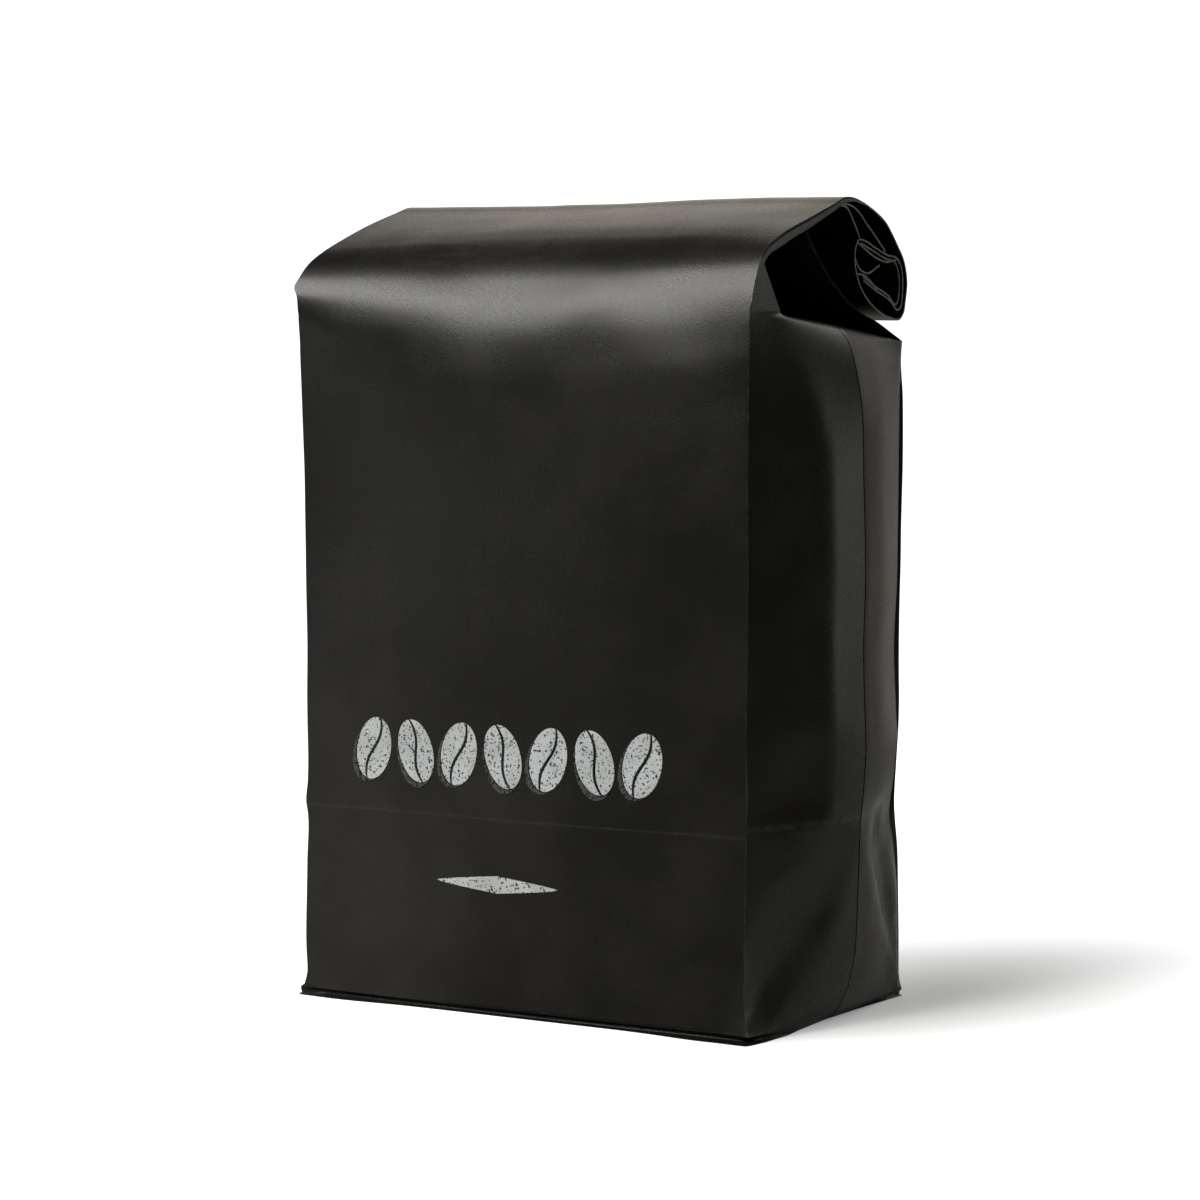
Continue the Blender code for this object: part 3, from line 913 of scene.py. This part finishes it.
def ink_film(prints, bag):
    pale, shade = [], []
    beans = prints.beans
    for i in range(beans):
        share = i / max(1, beans - 1)
        x = (prints.row_start + (prints.row_end - prints.row_start) * share) / MM
        z = prints.row_height / MM
        angle = math.radians(16.0 if i % 2 else -16.0)
        length, width = prints.bean_length / MM, prints.bean_width / MM
        for half in bean_halves(length, width):
            pale.append(turned(half, angle, x, z))
        shade.append(turned(bean_shade(length, width), angle, x, z))
    t = np.linspace(-1.0, 1.0, 31)
    reach = prints.rule_length / MM / 2
    thick = 1.75 * (1.0 - np.abs(t)) ** 0.8 + 0.05
    lozenge = motif(np.stack([t * reach, -thick], 1), np.stack([t * reach, thick], 1), across=5)
    middle = (prints.row_start + prints.row_end) / 2 / MM
    pale.append(turned(lozenge, 0.0, middle - 2.0, prints.rule_height / MM))
    films = []
    for name, patches in (("printed_beans", pale), ("printed_shades", shade)):
        film = weld([sheet("ink", patch) for patch in patches], name)
        apply_modifier(
            film, "SHRINKWRAP", target=bag, wrap_method="PROJECT", wrap_mode="ABOVE_SURFACE",
            use_project_x=False, use_project_y=True, use_project_z=False,
            use_positive_direction=True, use_negative_direction=False, offset=0.05 * MM,
        )
        apply_modifier(film, "SOLIDIFY", thickness=0.12 * MM, offset=-1.0)
        films.append(film)
    return films


# Finishes


class Nodes:
    """Shorthand for building a node tree."""

    def __init__(self, tree):
        self.tree = tree

    def add(self, kind, values=None, **settings):
        node = self.tree.nodes.new(kind)
        for key, value in settings.items():
            setattr(node, key, value)
        for key, value in (values or {}).items():
            if isinstance(value, bpy.types.NodeSocket):
                self.tree.links.new(value, node.inputs[key])
            else:
                node.inputs[key].default_value = value
        return node

    def math(self, operation, a, b=0.0, clamp=False):
        node = self.add("ShaderNodeMath", {0: a, 1: b}, operation=operation, use_clamp=clamp)
        return node.outputs[0]

    def ramp(self, value, low, high, to_low=0.0, to_high=1.0):
        node = self.add(
            "ShaderNodeMapRange",
            {"Value": value, "From Min": low, "From Max": high, "To Min": to_low, "To Max": to_high},
            interpolation_type="SMOOTHSTEP",
        )
        return node.outputs["Result"]

    def mix(self, factor, a, b):
        node = self.add("ShaderNodeMix", data_type="RGBA")
        for socket, value in ((0, factor), (6, a), (7, b)):
            if isinstance(value, bpy.types.NodeSocket):
                self.tree.links.new(value, node.inputs[socket])
            else:
                node.inputs[socket].default_value = value
        return node.outputs[2]

    def noise(self, where, scale, detail=2.0, roughness=0.5):
        node = self.add(
            "ShaderNodeTexNoise",
            {"Vector": where, "Scale": scale, "Detail": detail, "Roughness": roughness},
        )
        return node.outputs["Fac"]

    def stretched(self, where, scale):
        node = self.add("ShaderNodeMapping", {"Vector": where, "Scale": scale})
        return node.outputs["Vector"]


def new_group(name, inputs, outputs):
    """A shader node group; inputs are (name, kind, default) and outputs (name, kind)."""
    tree = bpy.data.node_groups.new(name, "ShaderNodeTree")
    for label, kind, default in inputs:
        socket = tree.interface.new_socket(name=label, in_out="INPUT", socket_type=kind)
        if default is not None:
            socket.default_value = default
    for label, kind in outputs:
        tree.interface.new_socket(name=label, in_out="OUTPUT", socket_type=kind)
    nodes = Nodes(tree)
    return tree, nodes, nodes.add("NodeGroupInput").outputs, nodes.add("NodeGroupOutput").inputs


def paper_tooth_group():
    """The grain of kraft paper: fine tooth, machine-direction fibres and pale flecks."""
    tree, n, given, out = new_group(
        "paper_tooth",
        [("Where", "NodeSocketVector", None), ("Grain", "NodeSocketFloat", 3000.0)],
        [("Height", "NodeSocketFloat"), ("Fleck", "NodeSocketFloat"), ("Cloud", "NodeSocketFloat")],
    )
    where = given["Where"]
    tooth = n.noise(where, given["Grain"], 2.0, 0.6)
    fibres = n.noise(n.stretched(where, (2200.0, 2200.0, 260.0)), 1.0, 1.0)
    n.tree.links.new(n.math("ADD", tooth, n.math("MULTIPLY", fibres, 0.25)), out["Height"])
    flecks = n.add("ShaderNodeTexVoronoi", {"Vector": where, "Scale": 3300.0}).outputs["Color"]
    n.tree.links.new(n.ramp(flecks, 0.1, 0.9, 0.36, 0.62), out["Fleck"])
    n.tree.links.new(n.noise(where, 42.0, 3.0, 0.6), out["Cloud"])
    return tree


SHEEN_LEVEL = 0.24  # the paper's and the ink's specular level


def new_material(name, roughness):
    material = bpy.data.materials.new(name)
    material.use_nodes = True
    n = Nodes(material.node_tree)
    shader = material.node_tree.nodes["Principled BSDF"]
    shader.inputs["Roughness"].default_value = roughness
    shader.inputs["Specular IOR Level"].default_value = SHEEN_LEVEL
    return material, n, shader


def rgba(colour):
    return (*colour, 1.0)


# Paler patches, low on the left of the front and streaked on the roof: the middle, the reach and the strength
PALE_PATCHES = [((-0.052, -0.033, 0.020), 0.085, 0.9), ((-0.016, -0.006, 0.164), 0.036, 3.0)]


def paper_material(finish, tooth_group):
    material, n, shader = new_material("black_paper", finish.roughness)
    where = n.add("ShaderNodeTexCoord").outputs["Object"]
    tooth = n.add("ShaderNodeGroup", node_tree=tooth_group)
    n.tree.links.new(where, tooth.inputs["Where"])
    # The pale lines along creases and cut edges are rubbed paper and a painted highlight on the rounded folds.
    wear_and_highlight = n.add("ShaderNodeAttribute", attribute_name="wear_and_highlight").outputs["Fac"]
    bloom = n.math("MULTIPLY", n.ramp(tooth.outputs["Cloud"], 0.42, 0.72), 0.35)
    patchy = n.ramp(tooth.outputs["Cloud"], 0.2, 0.7, 0.4, 1.0)
    streaky = n.ramp(n.noise(n.stretched(where, (90.0, 420.0, 420.0)), 1.0, 3.0, 0.7), 0.45, 0.75, 0.1, 1.0)
    for (place, reach, strength), pattern in zip(PALE_PATCHES, (patchy, streaky)):
        away = n.add("ShaderNodeVectorMath", {0: where, 1: place}, operation="DISTANCE").outputs["Value"]
        paler = n.math("MULTIPLY", n.ramp(away, reach * 0.15, reach, strength, 0.0), pattern)
        bloom = n.math("ADD", bloom, paler)
    colour = n.mix(bloom, rgba(finish.colour), rgba(finish.scuff_colour))
    colour = n.mix(n.math("MULTIPLY", tooth.outputs["Fleck"], 0.5), colour, rgba(finish.scuff_colour))
    ragged = n.ramp(n.noise(where, 420.0, 3.0, 0.7), 0.35, 0.62)
    worn_and_lit = n.math("MULTIPLY", n.math("POWER", wear_and_highlight, 1.6), n.math("ADD", n.math("MULTIPLY", ragged, 0.7), 0.3))
    colour = n.mix(worn_and_lit, colour, rgba(finish.wear_and_highlight_colour))
    n.tree.links.new(colour, shader.inputs["Base Color"])
    satin = n.ramp(tooth.outputs["Cloud"], 0.3, 0.75, finish.roughness + 0.02, finish.roughness + 0.08)
    satin = n.math("ADD", satin, n.math("MULTIPLY", tooth.outputs["Fleck"], -0.10))
    n.tree.links.new(satin, shader.inputs["Roughness"])
    n.tree.links.new(n.math("MULTIPLY", tooth.outputs["Fleck"], 0.5), shader.inputs["Coat Weight"])
    shader.inputs["Coat Roughness"].default_value = finish.roughness
    shader.inputs["Coat IOR"].default_value = 1.4
    bump = n.add("ShaderNodeBump", {"Strength": 0.8, "Distance": 0.00006, "Height": tooth.outputs["Height"]})
    n.tree.links.new(bump.outputs["Normal"], shader.inputs["Normal"])
    return material


def ink_material(name, ink, paper, tooth_group, missing):
    """Ink that misses the pits of the paper's tooth."""
    material, n, shader = new_material(name, 0.6)
    where = n.add("ShaderNodeTexCoord").outputs["Object"]
    tooth = n.add("ShaderNodeGroup", node_tree=tooth_group)
    n.tree.links.new(where, tooth.inputs["Where"])
    pits = n.ramp(n.noise(where, 1900.0, 1.5, 0.7), missing - 0.05, missing + 0.05)
    thin = n.ramp(n.noise(where, 160.0, 2.0), 0.3, 0.7, 0.82, 1.0)
    cover = n.math("MULTIPLY", pits, thin)
    n.tree.links.new(n.mix(cover, rgba(paper), rgba(ink)), shader.inputs["Base Color"])
    bump = n.add("ShaderNodeBump", {"Strength": 0.3, "Distance": 0.00005, "Height": tooth.outputs["Height"]})
    n.tree.links.new(bump.outputs["Normal"], shader.inputs["Normal"])
    return material


# Stage


# Soft-edged lights far round the bag: the middle and half the breadth of each as compass angles from
# +X, its lower and upper edge above the horizon, and how far the edges fade, in degrees; its radiance
STUDIO_LIGHTS = {
    "key": (236.0, 23.0, 33.0, 45.0, 7.0, 10.0),
    "key end": (260.0, 7.0, 18.0, 40.0, 7.0, 5.0),
    "key halo": (215.0, 30.0, 45.0, 53.0, 7.0, 1.4),
    "window": (126.0, 17.0, 8.0, 30.0, 9.0, 0.56),
    "backdrop": (98.0, 24.0, 34.0, 60.0, 9.0, 0.4),
    "rear glow": (108.0, 14.0, -8.0, 20.0, 12.0, 0.24),
    "canopy": (40.0, 50.0, 34.0, 72.0, 12.0, 1.1),
    "rear canopy": (74.0, 14.0, 8.0, 26.0, 9.0, 0.2),
    "low reflector": (52.0, 8.0, -8.0, 6.0, 6.0, 0.85),
    "front reflector": (227.0, 8.0, -10.0, 0.0, 6.0, 0.8),
}
WARM_LIGHTS = {"window", "rear glow", "backdrop"}
NEUTRAL, WARM = (1.0, 0.985, 0.925), (1.0, 0.93, 0.81)
DIM_WALLS = 0.05
WHITE_BACKDROP = 1.25


def soft_light(n, level, way, middle, half, low, high, fade, radiance):
    """The radiance that one light sends from each direction; level is its direction made horizontal."""
    toward = (math.cos(math.radians(middle)), math.sin(math.radians(middle)), 0.0)
    across = n.add("ShaderNodeVectorMath", {0: level, 1: toward}, operation="DOT_PRODUCT").outputs["Value"]
    rise = n.add("ShaderNodeSeparateXYZ", {0: way}).outputs["Z"]
    sines = [math.sin(math.radians(edge)) for edge in (low - fade, low, high, high + fade)]
    within = n.ramp(across, math.cos(math.radians(half + fade)), math.cos(math.radians(half)))
    above = n.ramp(rise, sines[0], sines[1])
    below = n.ramp(rise, sines[2], sines[3], 1.0, 0.0)
    lit = n.math("MULTIPLY", n.math("MULTIPLY", within, above), below)
    return n.math("MULTIPLY", lit, radiance)


def studio_world():
    """White to the camera. To the paper, soft lights in a dim room."""
    world = bpy.data.worlds.new("studio")
    bpy.context.scene.world = world
    world.use_nodes = True
    n = Nodes(world.node_tree)
    background = world.node_tree.nodes["Background"]
    way = n.add("ShaderNodeTexCoord").outputs["Generated"]
    flat = n.add("ShaderNodeVectorMath", {0: way, 1: (1.0, 1.0, 0.0)}, operation="MULTIPLY")
    level = n.add("ShaderNodeVectorMath", {0: flat.outputs["Vector"]}, operation="NORMALIZE").outputs["Vector"]
    light = tuple(DIM_WALLS * channel for channel in NEUTRAL)
    for name, values in STUDIO_LIGHTS.items():
        lit = n.add(
            "ShaderNodeVectorMath",
            {0: WARM if name in WARM_LIGHTS else NEUTRAL, "Scale": soft_light(n, level, way, *values)},
            operation="SCALE",
        )
        light = n.add("ShaderNodeVectorMath", {0: light, 1: lit.outputs["Vector"]}).outputs["Vector"]
    camera = n.add("ShaderNodeLightPath").outputs["Is Camera Ray"]
    n.tree.links.new(n.mix(camera, light, (WHITE_BACKDROP,) * 3 + (1.0,)), background.inputs["Color"])


def floor_material(stage):
    """Pale to the camera, and dim in what the paper mirrors, as if the floor were small. It glows with painted light,
    least in an oval beside the right gusset towards the rear, which paints the soft fade of the bag's shadow.
    """
    material = bpy.data.materials.new("studio_floor")
    material.use_nodes = True
    n = Nodes(material.node_tree)
    pale = n.add("ShaderNodeBsdfPrincipled", {"Base Color": rgba(stage.floor_colour), "Roughness": 1.0})
    pale.inputs["Specular IOR Level"].default_value = 0.0
    pale.inputs["Emission Color"].default_value = (0.94, 0.96, 1.0, 1.0)
    where = n.add("ShaderNodeTexCoord").outputs["Object"]
    distance = n.add("ShaderNodeVectorMath", {0: where}, operation="LENGTH").outputs["Value"]
    # Painted light: the floor glows from 0.08 in the middle of the painted shadow's oval to 0.62 beyond it.
    painted_shadow_oval = n.add("ShaderNodeMapping", {"Vector": where, "Location": (-0.078, -0.024, 0.0), "Scale": (1.3, 0.7, 1.0)})
    off_painted_shadow = n.add("ShaderNodeVectorMath", {0: painted_shadow_oval.outputs["Vector"]}, operation="LENGTH").outputs["Value"]
    n.tree.links.new(n.ramp(off_painted_shadow, 0.0, 0.085, 0.08, 0.62), pale.inputs["Emission Strength"])
    away = n.add("ShaderNodeVectorMath", {0: where}, operation="NORMALIZE").outputs["Vector"]
    toward = n.add("ShaderNodeVectorMath", {0: away, 1: (0.34, -0.94, 0.0)}, operation="DOT_PRODUCT")
    facing = n.ramp(toward.outputs["Value"], 0.45, 0.85)
    shade = n.math("MAXIMUM", facing, n.ramp(distance, 0.2, 0.42))
    dim = n.add("ShaderNodeBsdfDiffuse")
    mirrored = n.mix(shade, rgba(stage.mirrored_floor), (0.12, 0.12, 0.12, 1.0))
    n.tree.links.new(mirrored, dim.inputs["Color"])
    camera = n.add("ShaderNodeLightPath").outputs["Is Camera Ray"]
    both = n.add("ShaderNodeMixShader", {0: camera, 1: dim.outputs[0], 2: pale.outputs[0]})
    n.tree.links.new(both.outputs[0], material.node_tree.nodes["Material Output"].inputs["Surface"])
    return material


# Operators


class COFFEEBAG_OT_fold_wrapper(bpy.types.Operator):
    """Fold the paper round its filling, with its gussets, roof and roll"""

    bl_idname = "coffeebag.fold_wrapper"
    bl_label = "Fold wrapper"

    def execute(self, context):
        finish_piece(wrapper(context.scene.bag_shape), bpy.data.materials["black_paper"])
        return {"FINISHED"}


class COFFEEBAG_OT_roll_layers(bpy.types.Operator):
    """Add the loose layers of paper that show in the ends of the roll"""

    bl_idname = "coffeebag.roll_layers"
    bl_label = "Roll layers"

    def execute(self, context):
        finish_piece(roll_layers(context.scene.bag_shape), bpy.data.materials["black_paper"])
        return {"FINISHED"}


class COFFEEBAG_OT_mix_finishes(bpy.types.Operator):
    """Make the black paper and the two inks"""

    bl_idname = "coffeebag.mix_finishes"
    bl_label = "Mix finishes"

    def execute(self, context):
        finish, prints = context.scene.paper_finish, context.scene.front_print
        tooth = paper_tooth_group()
        paper_material(finish, tooth)
        ink_material("pale_ink", prints.ink, finish.colour, tooth, 0.40)
        ink_material("shade_ink", prints.shade_ink, finish.colour, tooth, 0.47)
        return {"FINISHED"}


class COFFEEBAG_OT_print_front(bpy.types.Operator):
    """Print the row of coffee beans and the lozenge low on the front panel"""

    bl_idname = "coffeebag.print_front"
    bl_label = "Print front"

    def execute(self, context):
        beans, shades = ink_film(context.scene.front_print, bpy.data.objects["wrapper"])
        finish_piece(beans, bpy.data.materials["pale_ink"])
        finish_piece(shades, bpy.data.materials["shade_ink"])
        return {"FINISHED"}


class COFFEEBAG_OT_set_stage(bpy.types.Operator):
    """Set the pale floor, the soft lights and the camera"""

    bl_idname = "coffeebag.set_stage"
    bl_label = "Set stage"

    def execute(self, context):
        stage = context.scene.studio_stage
        pick_nothing()
        bpy.ops.mesh.primitive_circle_add(vertices=96, radius=stage.floor_radius, fill_type="NGON")
        floor = context.object
        floor.name = "floor"
        floor.data.materials.append(floor_material(stage))
        studio_world()
        bpy.ops.object.camera_add(location=stage.camera_place)
        camera = context.object
        camera.name = "camera"
        aim = Vector(stage.camera_aim) - Vector(stage.camera_place)
        camera.rotation_euler = aim.to_track_quat("-Z", "Y").to_euler()
        camera.data.sensor_width = 36.0
        camera.data.lens = stage.lens
        context.scene.camera = camera
        context.scene.view_settings.view_transform = "Standard"
        return {"FINISHED"}


class COFFEEBAG_PT_panel(bpy.types.Panel):
    """Lists the steps that make the bag"""

    bl_label = "Coffee bag"
    bl_idname = "COFFEEBAG_PT_panel"
    bl_space_type = "VIEW_3D"
    bl_region_type = "UI"
    bl_category = "Coffee bag"

    def draw(self, context):
        for step in STEPS:
            self.layout.operator(step.bl_idname)
        for name in SETTINGS:
            box = self.layout.box()
            group = getattr(context.scene, name)
            for key in group.bl_rna.properties.keys():
                if key not in ("rna_type", "name"):
                    box.prop(group, key)


SETTINGS = {
    "bag_shape": BagShape, "paper_finish": PaperFinish, "front_print": FrontPrint,
    "studio_stage": StudioStage,
}
STEPS = (
    COFFEEBAG_OT_mix_finishes, COFFEEBAG_OT_fold_wrapper, COFFEEBAG_OT_roll_layers,
    COFFEEBAG_OT_print_front, COFFEEBAG_OT_set_stage,
)


def register():
    for made in (*SETTINGS.values(), *STEPS, COFFEEBAG_PT_panel):
        bpy.utils.register_class(made)
    for name, group in SETTINGS.items():
        setattr(bpy.types.Scene, name, PointerProperty(type=group))


def unregister():
    for name in SETTINGS:
        delattr(bpy.types.Scene, name)
    for made in (COFFEEBAG_PT_panel, *reversed(STEPS), *SETTINGS.values()):
        bpy.utils.unregister_class(made)


def main():
    register()
    bpy.ops.coffeebag.mix_finishes()
    bpy.ops.coffeebag.fold_wrapper()
    bpy.ops.coffeebag.roll_layers()
    bpy.ops.coffeebag.print_front()
    bpy.ops.coffeebag.set_stage()


if __name__ == "__main__":
    main()
